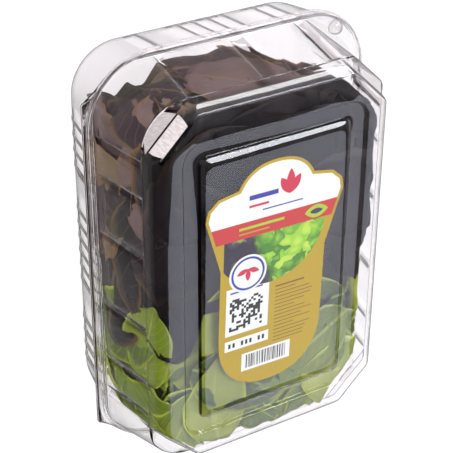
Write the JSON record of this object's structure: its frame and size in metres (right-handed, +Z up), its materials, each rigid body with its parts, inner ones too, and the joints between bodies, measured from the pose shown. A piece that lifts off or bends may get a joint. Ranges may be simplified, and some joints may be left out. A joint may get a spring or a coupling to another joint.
{
  "type": "clear hinged pack of salad leaves",
  "caption": "Clear plastic clamshell pack, shut on a heap of red and green salad leaves, with a die-cut label on the lid's face.",
  "frame": {"origin": "under the middle of the pack's box, on the surface that the tub's flat base rests on", "axes": "+X across the pack away from the hinge, +Y along it towards the label's head, +Z up through the lid's face"},
  "size_m": [0.1852, 0.269, 0.1005],
  "materials": {
    "clear_plastic": "clear thermoformed sheet, glossy",
    "leaf": "fresh leaf, satin, dark red-brown and green",
    "label_paper": "printed film label, satin"
  },
  "bodies": {
    "tub": {"tub": "clear_plastic", "leaves": "leaf"},
    "lid": {"lid": "clear_plastic", "label": "label_paper"}
  },
  "joints": [
    {"name": "lid_hinge", "type": "hinge", "parent": "tub", "child": "lid", "pos_m": [-0.0929, 0, 0.047], "axis": [0, -1, 0], "range_deg": [0, 160]}
  ]
}
